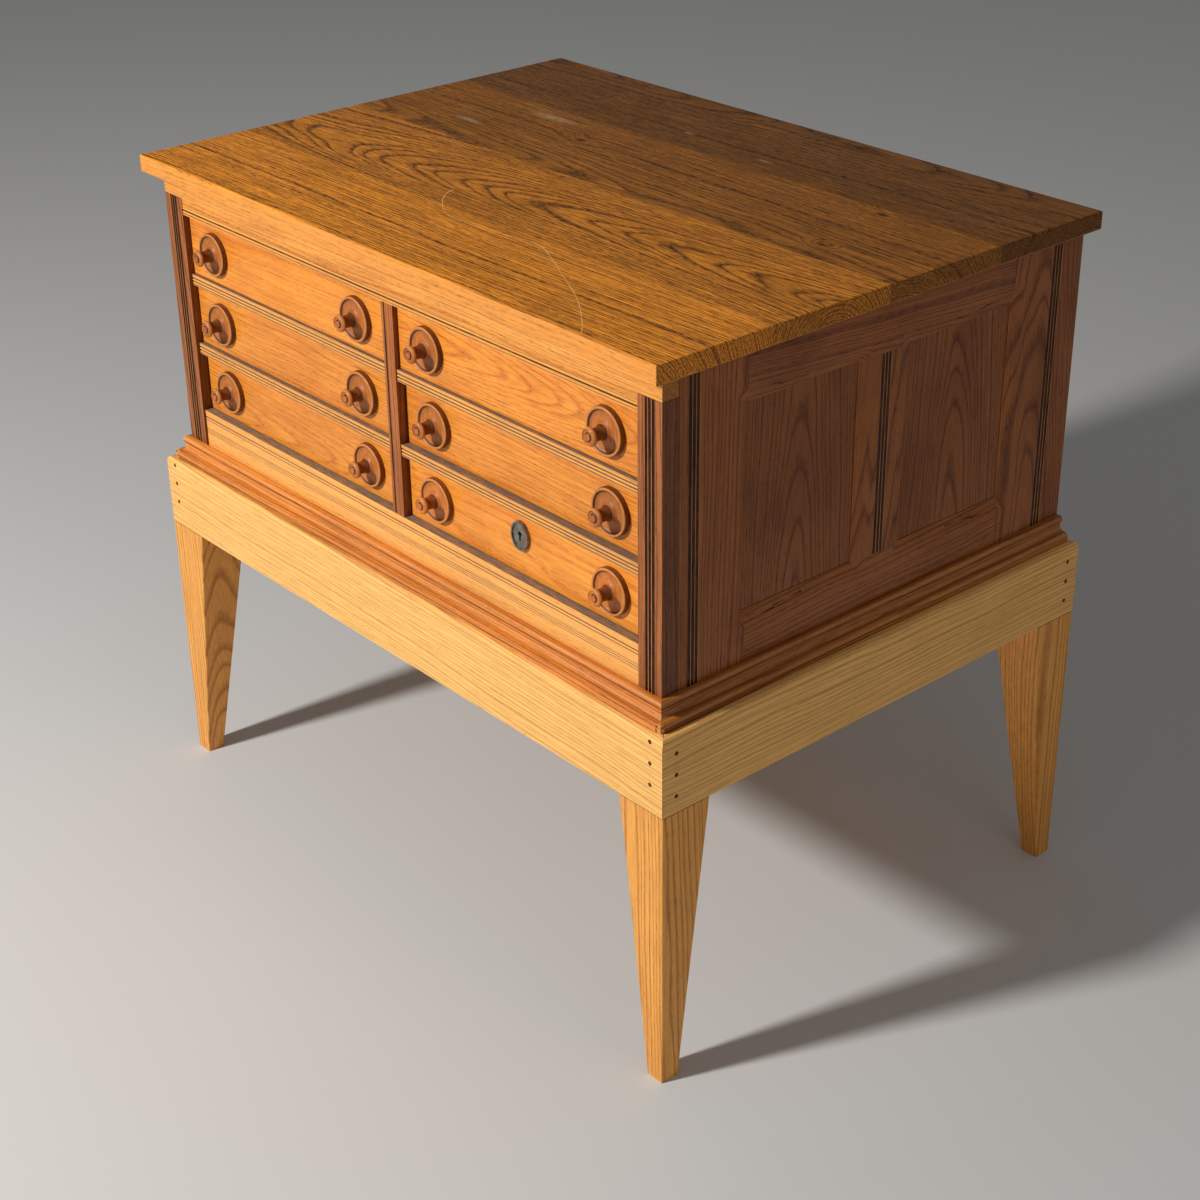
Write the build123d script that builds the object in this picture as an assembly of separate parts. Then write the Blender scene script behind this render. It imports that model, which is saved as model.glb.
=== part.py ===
from build123d import *
import os

# Oak tool chest: six shallow drawers in two columns, in a framed case that stands on a low table.
# Sizes are in millimetres. +Z is up and the drawers open towards -Y.
# The origin is on the floor, under the middle of the stand.

# Stand: four aprons mitred round four tapered legs
stand_width = 858.0
stand_depth = 604.0
stand_height = 398.5
apron_height = 84.0
apron_thickness = 22.0
apron_round = 6.0
leg_width = 60.8
foot_width = 21.5
leg_edge = 1.5
cleat_height = 22.0
cleat_width = 26.0
cleat_screw_radius = 2.2
cleat_screw_head = 4.2
cleat_screw_head_height = 3.0
cleat_screw_length = 32.0
cleat_screw_inset = 150.0
nail_radius = 1.1
nail_head_radius = 2.2
nail_head_height = 1.2
nail_length = 42.0
nail_from_corner = 17.4
nail_pitch = 23.3
nails_in_line = 3
hole_clearance = 0.15

# Case, as seen from outside, with the edge of the stand that it leaves free
case_from_side = 25.3
case_set_back = 22.0
case_from_back = 9.7
top_thickness = 19.0
top_over_front = 19.0
top_over_side = 13.3
top_over_back = 9.7
top_edge_round = 2.2
top_board_seams = (138.0, 290.0, 446.0)

# Front frame of the case
fascia_height = 24.0
front_board = 20.0
outer_stile_width = 32.0
centre_stile_width = 18.5
top_rail_height = 19.0
bottom_rail_height = 68.5
divider_height = 12.5
divider_depth = 50.0
opening_height = 69.0
top_rail_recess = 1.0
bottom_rail_recess = 3.0
centre_stile_recess = 3.0
divider_recess = 4.5
tenon_length = 8.0
tenon_height = 7.0
tenon_depth = 9.0
tenon_from_face = 5.0
flute_radius = 1.9
flute_pitch = 4.6
flute_count = 3
bead_radius = 1.7
bead_pitch = 3.7
reed_radius = 1.2
reed_pitch = 2.6
top_bead_radius = 1.9
top_bead_pitch = 4.2
top_bead_from_edge = 3.2
bottom_bead_from_top = 6.5
bottom_reed_from_top = 21.5

# Framed sides of the case
side_thickness = 20.0
side_stile_face = 89.6
side_mid_face = 42.0
side_top_rail_face = 41.0
side_bottom_rail_face = 64.5
side_flute_from_front = 38.5
bevel_width = 14.0
bevel_depth = 4.0
panel_step = 1.0
panel_thickness = 7.0
panel_tongue = 8.0
back_board_thickness = 8.0
back_board_count = 5
back_rebate = 10.0
bottom_board_thickness = 14.0

# Moulding round the foot of the case, as projection and height above the stand
moulding_height = 26.6
moulding_plinth = 16.5
moulding_plinth_height = 4.5
moulding_ovolo_in = 12.0
moulding_ovolo_top = 10.2
moulding_neck = 5.5
moulding_cove_top = 14.5
moulding_ovolo_rise = 1.5
moulding_cove_rise = 1.7
moulding_bead = 4.2
moulding_bead_out = 7.6

# Runners and stops inside the case
runner_overlap = 18.0
runner_height = 12.5
guide_height = 30.0
stop_width = 16.0
stop_depth = 14.0
stop_height = 18.0
running_gap = 0.3

# Drawers
drawer_room_behind = 30.8
front_thickness = 20.0
front_home_recess = 13.5
front_side_gap = 1.2
front_top_gap = 1.6
front_bottom_gap = 0.8
front_edge_round = 0.8
side_board = 10.0
side_height = 58.0
side_gap = 1.0
back_board = 10.0
back_from_end = 8.0
back_dado = 4.0
back_drop = 4.0
bottom_thickness = 6.0
bottom_above_edge = 8.0
bottom_groove = 4.0
tail_count = 3
tail_length = 12.0
tail_root = 10.0
tail_flare = 2.0
tail_pitch = 19.0
tail_first = 10.5

# How far each drawer stands out from its home position: columns from the left, rows from the top
pulled_out = {
    ("left", "upper"): 6.0,
    ("left", "middle"): 4.0,
    ("left", "lower"): 1.0,
    ("right", "upper"): 5.0,
    ("right", "middle"): 0.0,
    ("right", "lower"): 1.0,
}

# Turned knobs
knob_spacing = 265.0
rosette_radius = 24.0
rosette_thickness = 6.5
rosette_rim = 3.4
rosette_rim_round = 1.6
rosette_rim_drop = 1.4
rosette_bowl = 1.6
neck_base_radius = 10.5
neck_base_drop = 1.9
neck_radius = 6.5
neck_height = 13.0
neck_sweep = 1.3
knob_end_radius = 9.2
knob_end_thickness = 3.6
knob_end_round = 1.8
knob_length = 24.0
knob_button_radius = 3.2
knob_groove_depth = 1.0
dowel_radius = 4.5
dowel_length = 18.0

# Lock of the lower right drawer
plate_width = 25.0
plate_height = 31.0
plate_thickness = 2.6
plate_rim = 1.4
plate_rim_width = 1.8
keyhole_above_middle = 10.5
keyhole_radius = 2.75
keyhole_slot_width = 2.6
keyhole_slot_drop = 7.5
lock_width = 52.0
lock_height = 34.0
lock_thickness = 11.0
bolt_width = 18.0
bolt_thickness = 5.0
bolt_height = 18.0
bolt_clearance = 0.3
bolt_back_wall = 3.0
bolt_travel = 7.0
strike_clearance = 1.6

# Levels and planes that follow from the sizes above
apron_bottom = stand_height - apron_height
case_bottom = stand_height
opening_pitch = opening_height + divider_height
openings_bottom = case_bottom + bottom_rail_height
openings_top = openings_bottom + 2 * opening_pitch + opening_height
fascia_bottom = openings_top + top_rail_height
case_top = fascia_bottom + fascia_height
half_case = stand_width / 2 - case_from_side
front_y = -stand_depth / 2 + case_set_back
back_y = stand_depth / 2 - case_from_back
opening_edge = half_case - outer_stile_width
half_centre = centre_stile_width / 2
side_inner = half_case - side_thickness
back_inner = back_y - back_board_thickness
drawer_length = back_inner - drawer_room_behind - front_y - front_home_recess
opening_levels = {
    "lower": openings_bottom,
    "middle": openings_bottom + opening_pitch,
    "upper": openings_bottom + 2 * opening_pitch,
}
column_edges = {
    "left": (-opening_edge, -half_centre),
    "right": (half_centre, opening_edge),
}


def block(x0, x1, y0, y1, z0, z1):
    """A squared board between six planes."""
    middle = ((x0 + x1) / 2, (y0 + y1) / 2, (z0 + z1) / 2)
    return Pos(*middle) * Box(x1 - x0, y1 - y0, z1 - z0)


def rod(start, direction, radius, length):
    """A round bar from a point along a direction."""
    plane = Plane(origin=start, z_dir=direction)
    return plane * Cylinder(radius, length, align=(Align.CENTER, Align.CENTER, Align.MIN))


def bowed(start, end, rise):
    """An arc between two points that stands out to the right of the line between them by its rise."""
    chord = Vector(*end) - Vector(*start)
    middle = (Vector(*start) + Vector(*end)) / 2
    outward = Vector(chord.Y, -chord.X).normalized()
    peak = middle + outward * rise
    return ThreePointArc(start, (peak.X, peak.Y), end)


def save(node, *pieces):
    """Writes one named piece, or a group of like pieces, as a file of solids."""
    solids = [solid for piece in pieces for solid in piece.solids()]
    shape = solids[0] if len(solids) == 1 else Compound(solids)
    export_step(shape, f"parts/{node}.step")


def mitred_length(section, reach, start, end, outward, mitre_start=True, mitre_end=True):
    """A moulded board from start to end along its inner edge, cut at 45 degrees where two meet.

    The section's first axis is its projection outward and its second is the height.
    """
    along = Vector(*end) - Vector(*start)
    length = along.length
    along = along.normalized()
    out = Vector(*outward)
    grow_start = reach if mitre_start else 0.0
    grow_end = reach if mitre_end else 0.0
    run = Vector(out.Y, -out.X, 0)
    first = Vector(*start) - along * grow_start
    last = Vector(*end) + along * grow_end
    origin = first if run.dot(along) > 0 else last
    end_plane = Plane(origin=origin, x_dir=out, z_dir=run)
    board = extrude(end_plane * section, length + grow_start + grow_end)
    corners = [Vector(*start), Vector(*end), last + out * reach, first + out * reach]
    outline = make_face(Polyline(*[(c.X, c.Y) for c in corners], close=True))
    return board & (Pos(0, 0, -stand_height) * extrude(outline, 3 * stand_height))


def fluted(board, along_from, along_to, centre, face, axis):
    """Cuts a group of upright half-round flutes into one face of a stile."""
    for index in range(flute_count):
        offset = centre + (index - (flute_count - 1) / 2) * flute_pitch
        foot = (offset, face, along_from) if axis == "x" else (face, offset, along_from)
        board -= rod(foot, (0, 0, 1), flute_radius, along_to - along_from)
    return board


def beaded(rail, x0, x1, face, middle, radius, pitch, count):
    """Sinks a band into a rail's front that leaves half-round beads in it, level with the face."""
    half_band = (count - 1) / 2 * pitch + radius
    rail -= block(x0, x1, face, face + radius, middle - half_band, middle + half_band)
    for index in range(count):
        level = middle + (index - (count - 1) / 2) * pitch
        rail += rod((x0, face + radius, level), (1, 0, 0), radius, x1 - x0)
    return rail


def countersunk(start, direction, radius, length, head_radius, head_height):
    """A nail or screw: a shank with a flat head at its start."""
    return rod(start, direction, radius, length) + rod(start, direction, head_radius, head_height)


# Stand
def apron_section():
    """A board on edge whose outer top corner is rounded."""
    outline = Pos(apron_thickness / 2, apron_bottom + apron_height / 2) * Rectangle(
        apron_thickness, apron_height
    )
    corner = outline.vertices().sort_by(Axis.X)[-2:].sort_by(Axis.Y)[-1]
    return fillet(corner, apron_round)


def make_aprons():
    inner_x = stand_width / 2 - apron_thickness
    inner_y = stand_depth / 2 - apron_thickness
    section = apron_section()
    sides = {
        "front": ((-inner_x, -inner_y), (inner_x, -inner_y), (0, -1, 0)),
        "right": ((inner_x, -inner_y), (inner_x, inner_y), (1, 0, 0)),
        "back": ((inner_x, inner_y), (-inner_x, inner_y), (0, 1, 0)),
        "left": ((-inner_x, inner_y), (-inner_x, -inner_y), (-1, 0, 0)),
    }
    return {
        name: mitred_length(section, apron_thickness, (*start, 0), (*end, 0), outward)
        for name, (start, end, outward) in sides.items()
    }


def make_leg(side_x, side_y):
    """A leg whose two outer faces are upright and whose two inner faces taper to the foot."""
    outer_x = side_x * stand_width / 2
    outer_y = side_y * stand_depth / 2

    def section(level, width):
        middle = (outer_x - side_x * width / 2, outer_y - side_y * width / 2, level)
        return Pos(*middle) * Rectangle(width, width)

    taper = loft([section(0, foot_width), section(apron_bottom, leg_width)])
    long_edges = [edge for edge in taper.edges() if edge.length > apron_bottom / 2]
    taper = fillet(long_edges, leg_edge)
    post_x = sorted((outer_x - side_x * apron_thickness, outer_x - side_x * leg_width))
    post_y = sorted((outer_y - side_y * apron_thickness, outer_y - side_y * leg_width))
    return taper + block(*post_x, *post_y, apron_bottom, stand_height)


def apron_nails():
    """Places of the nails: a row through each end of each apron, half a step up in front and behind."""
    places = []
    middle = apron_bottom + apron_height / 2
    for side_x in (-1, 1):
        for side_y in (-1, 1):
            for index in range(nails_in_line):
                level = middle + (index - (nails_in_line - 1) / 2) * nail_pitch
                x = side_x * (stand_width / 2 - nail_from_corner)
                y = side_y * (stand_depth / 2 - nail_from_corner)
                places.append(((x, side_y * stand_depth / 2, level + nail_pitch / 2), (0, -side_y, 0)))
                places.append(((side_x * stand_width / 2, y, level), (-side_x, 0, 0)))
    return places


def fasteners(places, radius, length, head_radius, head_height, grown=0.0):
    sizes = [size + grown for size in (radius, length, head_radius, head_height)]
    return [countersunk(start, direction, *sizes) for start, direction in places]


def make_cleats():
    """Battens screwed inside the aprons, level with their top, which carry the case."""
    inner_x = stand_width / 2 - apron_thickness
    inner_y = stand_depth / 2 - apron_thickness
    post = leg_width - apron_thickness
    low = stand_height - cleat_height
    cleats = []
    for side in (-1, 1):
        x0, x1 = sorted((side * inner_x, side * (inner_x - cleat_width)))
        cleats.append(block(x0, x1, -inner_y + post, inner_y - post, low, stand_height))
        y0, y1 = sorted((side * inner_y, side * (inner_y - cleat_width)))
        cleats.append(block(-inner_x + post, inner_x - post, y0, y1, low, stand_height))
    return cleats


def cleat_screws():
    """Places of the screws that go up through the cleats into the case bottom."""
    line = stand_depth / 2 - apron_thickness - cleat_width / 2
    level = stand_height - cleat_height
    places = []
    for side_y in (-1, 1):
        for side_x in (-1, 1):
            x = side_x * (stand_width / 2 - cleat_screw_inset)
            places.append(((x, side_y * line, level), (0, 0, 1)))
    return places


def make_stand():
    aprons = make_aprons()
    legs = {
        (side_x, side_y): make_leg(side_x, side_y)
        for side_x in (-1, 1)
        for side_y in (-1, 1)
    }
    nail_sizes = (nail_radius, nail_length, nail_head_radius, nail_head_height)
    nails = fasteners(apron_nails(), *nail_sizes)
    nail_holes = fasteners(apron_nails(), *nail_sizes, grown=hole_clearance)
    for name, apron in aprons.items():
        for hole in nail_holes:
            apron = apron - hole
        save(f"apron_{name}", apron)
    words = {-1: "left", 1: "right"}
    rows = {-1: "front", 1: "back"}
    for (side_x, side_y), leg in legs.items():
        for hole in nail_holes:
            leg = leg - hole
        save(f"leg_{rows[side_y]}_{words[side_x]}", leg)
    save("apron_nails", *nails)
    screw_sizes = (cleat_screw_radius, cleat_screw_length, cleat_screw_head, cleat_screw_head_height)
    screws = fasteners(cleat_screws(), *screw_sizes)
    screw_holes = fasteners(cleat_screws(), *screw_sizes, grown=hole_clearance)
    cleats = make_cleats()
    for hole in screw_holes:
        cleats = [cleat - hole for cleat in cleats]
    save("stand_cleats", *cleats)
    save("cleat_screws", *screws)
    return screw_holes


# Top: boards glued edge to edge, with a softened upper edge all round
def make_top():
    x1 = half_case + top_over_side
    y0 = front_y - top_over_front
    y1 = back_y + top_over_back
    slab = block(-x1, x1, y0, y1, case_top, case_top + top_thickness)
    slab = fillet(slab.faces().sort_by(Axis.Z)[-1].edges(), top_edge_round)
    edges = [y0] + [y0 + seam for seam in top_board_seams] + [y1]
    boards = [
        slab & block(-x1, x1, low, high, case_top, case_top + top_thickness)
        for low, high in zip(edges, edges[1:])
    ]
    save("top_boards", *boards)


# Front frame
def rail_tenon(x_shoulder, side, level, face):
    """The stub tenon at one end of a divider rail."""
    x0, x1 = sorted((x_shoulder, x_shoulder + side * tenon_length))
    y0 = face + tenon_from_face
    z0 = level + (divider_height - tenon_height) / 2
    return block(x0, x1, y0, y0 + tenon_depth, z0, z0 + tenon_height)


def make_divider(x0, x1, level):
    """A rail between two drawers: three beads on its front and a stub tenon at each end."""
    face = front_y + divider_recess
    rail = block(x0, x1, face, face + divider_depth, level, level + divider_height)
    rail = beaded(rail, x0, x1, face, level + divider_height / 2, bead_radius, bead_pitch, 3)
    tenons = [rail_tenon(x0, -1, level, face), rail_tenon(x1, 1, level, face)]
    return rail + tenons[0] + tenons[1], tenons


def make_front_frame(screw_holes):
    fascia = block(-half_case, half_case, front_y, front_y + front_board, fascia_bottom, case_top)
    save("fascia", fascia)

    face = front_y + top_rail_recess
    top_rail = block(-opening_edge, opening_edge, face, face + front_board, openings_top, fascia_bottom)
    bead_middle = openings_top + top_bead_from_edge + top_bead_pitch / 2
    save("top_rail", beaded(
        top_rail, -opening_edge, opening_edge, face, bead_middle, top_bead_radius, top_bead_pitch, 2
    ))

    face = front_y + bottom_rail_recess
    rail_top = opening_levels["lower"]
    bottom_rail = block(-opening_edge, opening_edge, face, face + front_board, case_bottom, rail_top)
    bead_middle = rail_top - bottom_bead_from_top - bead_pitch / 2
    bottom_rail = beaded(
        bottom_rail, -opening_edge, opening_edge, face, bead_middle, bead_radius, bead_pitch, 2
    )
    reed_middle = rail_top - bottom_reed_from_top - reed_pitch
    bottom_rail = beaded(
        bottom_rail, -opening_edge, opening_edge, face, reed_middle, reed_radius, reed_pitch, 3
    )
    for hole in screw_holes:
        bottom_rail -= hole
    save("bottom_rail", bottom_rail)

    all_tenons = []
    strike = strike_mortise()
    for column, (x0, x1) in column_edges.items():
        rails = []
        for row in ("middle", "upper"):
            rail, tenons = make_divider(x0, x1, opening_levels[row] - divider_height)
            rails.append(rail - strike)
            all_tenons += tenons
        save(f"divider_rails_{column}", *rails)

    for column, side in (("left", -1), ("right", 1)):
        x0, x1 = sorted((side * opening_edge, side * half_case))
        stile = block(x0, x1, front_y, front_y + front_board, case_bottom, fascia_bottom)
        stile = fluted(stile, case_bottom, fascia_bottom, (x0 + x1) / 2, front_y, "x")
        for tenon in all_tenons:
            stile = stile - tenon
        save(f"front_stile_{column}", stile)

    face = front_y + centre_stile_recess
    centre = block(-half_centre, half_centre, face, face + front_board, rail_top, openings_top)
    for tenon in all_tenons:
        centre = centre - tenon
    centre -= rod((-half_centre / 2, face, rail_top), (0, 0, 1), reed_radius, openings_top - rail_top)
    save("centre_stile", centre)


# Framed sides: stiles and rails with a wide bevel round each flat panel
def side_openings():
    """The lit edges of the two panels on one side, as y and z limits on the frame's face."""
    middle = (front_y + back_y) / 2
    low = case_bottom + side_bottom_rail_face
    high = case_top - side_top_rail_face
    return [
        (front_y + side_stile_face, middle - side_mid_face / 2, low, high),
        (middle + side_mid_face / 2, back_y - side_stile_face, low, high),
    ]


def bevelled_opening(y0, y1, z0, z1):
    """The bevel and the clear opening of one panel, as the solid that is cut away."""
    face = Plane(origin=(half_case, (y0 + y1) / 2, (z0 + z1) / 2), x_dir=(0, 1, 0), z_dir=(-1, 0, 0))
    outer = face * Rectangle(y1 - y0, z1 - z0)
    inner = face.offset(bevel_depth) * Rectangle(y1 - y0 - 2 * bevel_width, z1 - z0 - 2 * bevel_width)
    clear = block(
        side_inner - side_thickness, half_case,
        y0 + bevel_width, y1 - bevel_width, z0 + bevel_width, z1 - bevel_width,
    )
    return loft([outer, inner]) + clear


def make_side_frame():
    """The frame and the two panels of the right side."""
    places = side_openings()
    cuts = [bevelled_opening(*place) for place in places]
    panel_face = half_case - bevel_depth - panel_step
    panels = []
    for y0, y1, z0, z1 in places:
        grow = panel_tongue - bevel_width
        panels.append(block(
            panel_face - panel_thickness, panel_face, y0 - grow, y1 + grow, z0 - grow, z1 + grow
        ))
    stile_end = front_y + side_stile_face + bevel_width
    rear_start = back_y - side_stile_face - bevel_width
    mid_half = side_mid_face / 2 + bevel_width
    mid = (front_y + back_y) / 2
    rail_low = case_bottom + side_bottom_rail_face + bevel_width
    rail_high = case_top - side_top_rail_face - bevel_width
    front_stile = block(side_inner, half_case, front_y + front_board, stile_end, case_bottom, case_top)
    rear_stile = block(side_inner, half_case, rear_start, back_y, case_bottom, case_top)
    mid_stile = block(side_inner, half_case, mid - mid_half, mid + mid_half, rail_low, rail_high)
    bottom_rail = block(side_inner, half_case, stile_end, rear_start, case_bottom, rail_low)
    top_rail = block(side_inner, half_case, stile_end, rear_start, rail_high, case_top)
    rebate = block(
        side_inner, side_inner + back_rebate, back_inner, back_y, case_bottom, case_top
    )
    stile_inner = half_case - outer_stile_width
    fascia_seat = block(
        stile_inner, half_case, front_y, front_y + front_board, fascia_bottom, case_top
    )
    front_flutes = front_y + side_flute_from_front
    rear_flutes = back_y - side_flute_from_front
    front_stile = fluted(front_stile, case_bottom, case_top, front_flutes, half_case, "y")
    rear_stile = fluted(rear_stile, case_bottom, case_top, rear_flutes, half_case, "y")
    mid_stile = fluted(mid_stile, rail_low, rail_high, mid, half_case, "y")
    members = [front_stile - fascia_seat, rear_stile - rebate, mid_stile, bottom_rail, top_rail]
    for cut in cuts + panels:
        members = [member - cut for member in members]
    return members, panels


def make_sides():
    members, panels = make_side_frame()
    save("side_frame_right", *members)
    save("side_frame_left", *[mirror(member, Plane.YZ) for member in members])
    save("side_panels", *panels, *[mirror(panel, Plane.YZ) for panel in panels])


# Back, bottom and middle partition
def make_carcass(screw_holes):
    reach = side_inner + back_rebate
    board_width = 2 * reach / back_board_count
    boards = [
        block(
            -reach + index * board_width, -reach + (index + 1) * board_width,
            back_inner, back_y, case_bottom, case_top,
        )
        for index in range(back_board_count)
    ]
    save("back_boards", *boards)

    front_of_bottom = front_y + bottom_rail_recess + front_board
    bottom_top = case_bottom + bottom_board_thickness
    bottom = block(-side_inner, side_inner, front_of_bottom, back_inner, case_bottom, bottom_top)
    for hole in screw_holes:
        bottom -= hole
    save("case_bottom", bottom)

    behind_stile = front_y + centre_stile_recess + front_board
    partition = block(-half_centre, half_centre, behind_stile, back_inner, bottom_top, case_top)
    save("centre_partition", partition)


def base_moulding_section():
    """Plinth, ovolo, cove, neck and bead, from the stand up."""
    plinth_top = (moulding_plinth, moulding_plinth_height)
    ovolo_top = (moulding_ovolo_in, moulding_ovolo_top)
    cove_top = (moulding_neck, moulding_cove_top)
    bead_middle = (moulding_bead_out - moulding_bead, moulding_height - moulding_bead)
    neck_in_bead = moulding_neck - bead_middle[0]
    neck_top = (moulding_neck, bead_middle[1] - (moulding_bead**2 - neck_in_bead**2) ** 0.5)
    bead_top = (bead_middle[0], moulding_height)
    outline = [
        Polyline((0, moulding_height), (0, 0), (moulding_plinth, 0), plinth_top),
        bowed(plinth_top, ovolo_top, moulding_ovolo_rise),
        bowed(ovolo_top, cove_top, -moulding_cove_rise),
        Line(cove_top, neck_top),
        ThreePointArc(neck_top, (moulding_bead_out, bead_middle[1]), bead_top),
        Line(bead_top, (0, moulding_height)),
    ]
    return Pos(0, case_bottom) * make_face(outline)


def make_base_moulding():
    section = base_moulding_section()
    left_front = (-half_case, front_y, 0)
    right_front = (half_case, front_y, 0)
    left_back = (-half_case, back_y, 0)
    right_back = (half_case, back_y, 0)
    reach = moulding_plinth
    save("base_moulding_front", mitred_length(section, reach, left_front, right_front, (0, -1, 0)))
    save("base_moulding_right", mitred_length(
        section, reach, right_front, right_back, (1, 0, 0), mitre_end=False
    ))
    save("base_moulding_left", mitred_length(
        section, reach, left_back, left_front, (-1, 0, 0), mitre_start=False
    ))


# Runners, guides, kickers and stops, on which the drawers slide
def make_runners():
    """Runners and stops at both sides of each drawer, kickers above the top pair, and outer guides."""
    runners = []
    kickers = []
    guides = []
    stops = []
    rail_back = front_y + divider_recess + divider_depth
    bottom_rail_back = front_y + bottom_rail_recess + front_board
    top_rail_back = front_y + top_rail_recess + front_board
    stop_face = front_y + front_home_recess + drawer_length + running_gap
    for side in (-1, 1):
        places = (
            (side_inner, opening_edge, opening_edge - runner_overlap, opening_edge - stop_width),
            (half_centre, half_centre, half_centre + runner_overlap, half_centre + stop_width),
        )
        for wall, edge, tip, stop_tip in places:
            runner_x = sorted((side * wall, side * tip))
            stop_x = sorted((side * edge, side * stop_tip))
            for row, level in opening_levels.items():
                start = bottom_rail_back if row == "lower" else rail_back
                runners.append(block(*runner_x, start, back_inner, level - runner_height, level))
                stops.append(block(
                    *stop_x, stop_face, stop_face + stop_depth, level, level + stop_height
                ))
            kickers.append(block(
                *runner_x, top_rail_back, back_inner, openings_top, openings_top + runner_height
            ))
        guide_x = sorted((side * side_inner, side * opening_edge))
        for level in opening_levels.values():
            guides.append(block(*guide_x, rail_back, back_inner, level, level + guide_height))
    save("drawer_runners", *runners)
    save("drawer_kickers", *kickers)
    save("drawer_guides", *guides)
    save("drawer_stops", *stops)


# Lock of the lower right drawer
def lock_place():
    """The middle of the right column, and the back and the top edge of its lowest drawer's front."""
    x0, x1 = column_edges["right"]
    front_top = opening_levels["lower"] + opening_height - front_top_gap
    front_back = front_y + front_home_recess - pulled_out[("right", "lower")] + front_thickness
    return (x0 + x1) / 2, front_back, front_top


def bolt_planes(grown=0.0):
    x, front_back, front_top = lock_place()
    y1 = front_back - bolt_back_wall + grown
    return x - bolt_width / 2 - grown, x + bolt_width / 2 + grown, y1 - bolt_thickness - 2 * grown, y1


def strike_mortise():
    """The slot under the rail above the lock, into which the bolt rises."""
    x0, x1, y0, y1 = bolt_planes(strike_clearance)
    floor = opening_levels["middle"] - divider_height
    depth = bolt_travel - front_top_gap + strike_clearance
    return block(x0, x1, y0, y1, floor, floor + depth)


def lock_body():
    x, front_back, front_top = lock_place()
    return block(
        x - lock_width / 2, x + lock_width / 2, front_back - lock_thickness, front_back,
        front_top - lock_height, front_top,
    )


def keyhole(from_y, to_y):
    """A round hole with a slot below it, through the escutcheon and the drawer front."""
    x, _, _ = lock_place()
    level = opening_levels["lower"] + opening_height / 2 + keyhole_above_middle
    hole = rod((x, from_y, level), (0, 1, 0), keyhole_radius, to_y - from_y)
    half_slot = keyhole_slot_width / 2
    return hole + block(x - half_slot, x + half_slot, from_y, to_y, level - keyhole_slot_drop, level)


def make_lock():
    x, front_back, front_top = lock_place()
    front_face = front_back - front_thickness
    body = lock_body()
    x0, x1, y0, y1 = bolt_planes(bolt_clearance)
    bolt_floor = front_top - bolt_height
    body -= block(x0, x1, y0, y1, bolt_floor - bolt_clearance, front_top)
    body -= keyhole(front_face, front_back - bolt_back_wall)
    save("lock_case", body)
    x0, x1, y0, y1 = bolt_planes()
    save("lock_bolt", block(x0, x1, y0, y1, bolt_floor, front_top))

    level = opening_levels["lower"] + opening_height / 2 + keyhole_above_middle
    centre = (x, front_face, level - keyhole_slot_drop / 4)
    plane = Plane(origin=centre, x_dir=(1, 0, 0), z_dir=(0, -1, 0))
    plate = extrude(plane * Ellipse(plate_width / 2, plate_height / 2), plate_thickness)
    rim = Ellipse(plate_width / 2, plate_height / 2) - Ellipse(
        plate_width / 2 - plate_rim_width, plate_height / 2 - plate_rim_width
    )
    plate += extrude(plane.offset(plate_thickness) * rim, plate_rim)
    front_of_plate = front_face - plate_thickness - plate_rim
    save("escutcheon", plate - keyhole(front_of_plate, front_face))


# Drawers
def knob_section():
    """Half of a turned knob: dowel, rosette like a dish with a rim, waisted neck and grooved end."""
    rim_base = (rosette_radius, rosette_thickness - rosette_rim_round)
    rim_top = (rosette_radius - rosette_rim_round, rosette_thickness)
    rim_inside = (rosette_radius - rosette_rim, rosette_thickness - rosette_rim_drop)
    bowl_inside = (neck_base_radius, rosette_thickness - neck_base_drop)
    neck = (neck_radius, neck_height)
    end_back = (knob_end_radius, knob_length - knob_end_thickness)
    end_rim = (knob_end_radius - knob_end_round, knob_length)
    button = (knob_button_radius, knob_length)
    return make_face([
        Polyline(
            (0, knob_length), (0, -dowel_length), (dowel_radius, -dowel_length), (dowel_radius, 0),
            (rosette_radius, 0), rim_base,
        ),
        bowed(rim_base, rim_top, rosette_rim_round / 4),
        bowed(rim_top, rim_inside, rosette_rim_round / 4),
        bowed(rim_inside, bowl_inside, -rosette_bowl),
        bowed(bowl_inside, neck, -neck_sweep),
        bowed(neck, end_back, -neck_sweep),
        bowed(end_back, end_rim, knob_end_round / 3),
        bowed(end_rim, button, -knob_groove_depth),
        Line(button, (0, knob_length)),
    ])


def make_knob(x, face, level):
    """A knob on a drawer front, turned about its own axis, which points to the user."""
    turned = revolve(Plane.XZ * knob_section(), Axis.Z)
    return Plane(origin=(x, face, level), x_dir=(1, 0, 0), z_dir=(0, -1, 0)) * turned


def side_tails(x0, x1, shoulder, base):
    """The dovetails at the front end of a drawer side."""
    tails = []
    for index in range(tail_count):
        middle = base + tail_first + index * tail_pitch
        root = tail_root / 2
        tip = root + tail_flare
        outline = make_face(Polyline(
            (shoulder, middle - root), (shoulder, middle + root),
            (shoulder - tail_length, middle + tip), (shoulder - tail_length, middle - tip),
            close=True,
        ))
        tails.append(extrude(Plane.YZ.offset(x0) * outline, x1 - x0))
    return tails


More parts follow.
